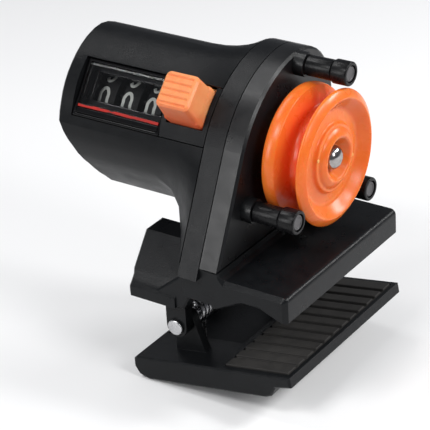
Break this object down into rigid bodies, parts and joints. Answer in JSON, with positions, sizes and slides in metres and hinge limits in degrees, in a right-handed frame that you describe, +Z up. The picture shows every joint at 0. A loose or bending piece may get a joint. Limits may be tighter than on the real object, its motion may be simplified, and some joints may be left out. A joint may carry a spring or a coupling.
{
  "type": "fishing line counter",
  "caption": "Clip-on fishing line counter: a grooved line wheel drives number drums in a moulded barrel, with a reset button, and a sprung jaw grips the rod.",
  "frame": {"origin": "middle of the saddle's flat crown, where the top of the rod bears", "axes": "+Z up, away from the rod; +Y along the rod; +X along the wheel's axle, from the barrel out towards the open front of the line wheel"},
  "size_m": [0.0961, 0.0706, 0.1029],
  "materials": {
    "body_black": "fine texture",
    "cover_black": "satin",
    "gloss_black": "polished",
    "drum_black": "matt with pale digits",
    "clear_pane": "clear plastic",
    "line_red": "gloss",
    "wheel_orange": "gloss",
    "button_orange": "satin",
    "dome_chrome": "polished",
    "bush_brass": "turned",
    "bright_steel": "drawn",
    "pin_grey": "satin",
    "gear_white": "moulded",
    "pad_rubber": "ribbed"
  },
  "bodies": {
    "housing": {"chassis": "body_black", "front_cover": "cover_black", "barrel_housing": "body_black", "button_plate": "body_black", "display_frame": "gloss_black", "window_lens": "clear_pane", "index_line": "line_red", "index_band": "gloss_black", "axle_bush": "bush_brass", "rear_bush": "bush_brass", "left_bush": "bush_brass", "idler_pin_one": "bright_steel", "idler_pin_two": "bright_steel", "carry_shaft": "bright_steel", "hinge_pin": "bright_steel", "guide_pin_top": "pin_grey", "guide_pin_front": "pin_grey", "guide_pin_rear": "pin_grey", "guide_cap_top": "cover_black", "guide_cap_front": "cover_black", "guide_cap_rear": "cover_black", "reset_spring": "bright_steel", "jaw_spring": "bright_steel", "cover_screw_upper": "bright_steel", "cover_screw_lower": "bright_steel", "barrel_screw_upper": "bright_steel", "barrel_screw_lower": "bright_steel"},
    "wheel": {"line_wheel": "wheel_orange", "wheel_axle": "dome_chrome", "axle_pinion": "bush_brass"},
    "idler_one": {"idler_gear_one": "gear_white"},
    "idler_two": {"idler_gear_two": "gear_white"},
    "units": {"output_gear": "gear_white", "counter_shaft": "bright_steel", "units_wheel": "drum_black"},
    "tens": {"tens_wheel": "drum_black"},
    "hundreds": {"hundreds_wheel": "drum_black"},
    "carry_tens": {"carry_pinion_tens": "gear_white"},
    "carry_hundreds": {"carry_pinion_hundreds": "gear_white"},
    "roller_top": {"guide_roller_top": "cover_black"},
    "roller_front": {"guide_roller_front": "cover_black"},
    "roller_rear": {"guide_roller_rear": "cover_black"},
    "button": {"reset_button": "button_orange"},
    "jaw": {"clamp_jaw": "body_black", "jaw_pad": "pad_rubber"}
  },
  "joints": [
    {"name": "wheel_spin", "type": "hinge", "parent": "housing", "child": "wheel", "pos_m": [0, 0.0075, 0.034], "axis": [1, 0, 0], "continuous": true},
    {"name": "idler_one_spin", "type": "hinge", "parent": "housing", "child": "idler_one", "pos_m": [-0.0155, 0.00966, 0.0222], "axis": [1, 0, 0], "continuous": true},
    {"name": "idler_two_spin", "type": "hinge", "parent": "housing", "child": "idler_two", "pos_m": [-0.0183, -0.0043, 0.02574], "axis": [1, 0, 0], "continuous": true},
    {"name": "units_spin", "type": "hinge", "parent": "housing", "child": "units", "pos_m": [-0.0535, 0.0075, 0.034], "axis": [1, 0, 0], "continuous": true},
    {"name": "tens_spin", "type": "hinge", "parent": "housing", "child": "tens", "pos_m": [-0.0628, 0.0075, 0.034], "axis": [1, 0, 0], "continuous": true},
    {"name": "hundreds_spin", "type": "hinge", "parent": "housing", "child": "hundreds", "pos_m": [-0.0721, 0.0075, 0.034], "axis": [1, 0, 0], "continuous": true},
    {"name": "carry_tens_spin", "type": "hinge", "parent": "housing", "child": "carry_tens", "pos_m": [-0.0604, 0.0231, 0.03968], "axis": [1, 0, 0], "continuous": true},
    {"name": "carry_hundreds_spin", "type": "hinge", "parent": "housing", "child": "carry_hundreds", "pos_m": [-0.0697, 0.0231, 0.03968], "axis": [1, 0, 0], "continuous": true},
    {"name": "roller_top_spin", "type": "hinge", "parent": "housing", "child": "roller_top", "pos_m": [-0.0026, 0.01554, 0.05935], "axis": [1, 0, 0], "continuous": true},
    {"name": "roller_front_spin", "type": "hinge", "parent": "housing", "child": "roller_front", "pos_m": [-0.0026, -0.01676, 0.0231], "axis": [1, 0, 0], "continuous": true},
    {"name": "roller_rear_spin", "type": "hinge", "parent": "housing", "child": "roller_rear", "pos_m": [-0.0026, 0.02604, 0.01493], "axis": [1, 0, 0], "continuous": true},
    {"name": "button_press", "type": "slide", "parent": "housing", "child": "button", "axis": [0, 0.7133, -0.7009], "range_m": [0, 0.0025], "stiffness_N_per_m": 400, "springref_m": -0.001, "deforming": ["reset_spring"]},
    {"name": "jaw_hinge", "type": "hinge", "parent": "housing", "child": "jaw", "pos_m": [-0.0315, 0.0075, -0.0185], "axis": [0, 1, 0], "range_deg": [-21, 25], "stiffness_Nm_per_rad": 0.5, "deforming": ["jaw_spring"]}
  ],
  "couplings": [
    {"joint": "idler_one_spin", "follows": "wheel_spin", "ratio": -0.25},
    {"joint": "idler_two_spin", "follows": "wheel_spin", "ratio": 0.05},
    {"joint": "units_spin", "follows": "wheel_spin", "ratio": -0.01},
    {"joint": "tens_spin", "follows": "wheel_spin", "ratio": -0.001},
    {"joint": "hundreds_spin", "follows": "wheel_spin", "ratio": -0.0001},
    {"joint": "carry_tens_spin", "follows": "wheel_spin", "ratio": 0.0025},
    {"joint": "carry_hundreds_spin", "follows": "wheel_spin", "ratio": 0.00025}
  ]
}
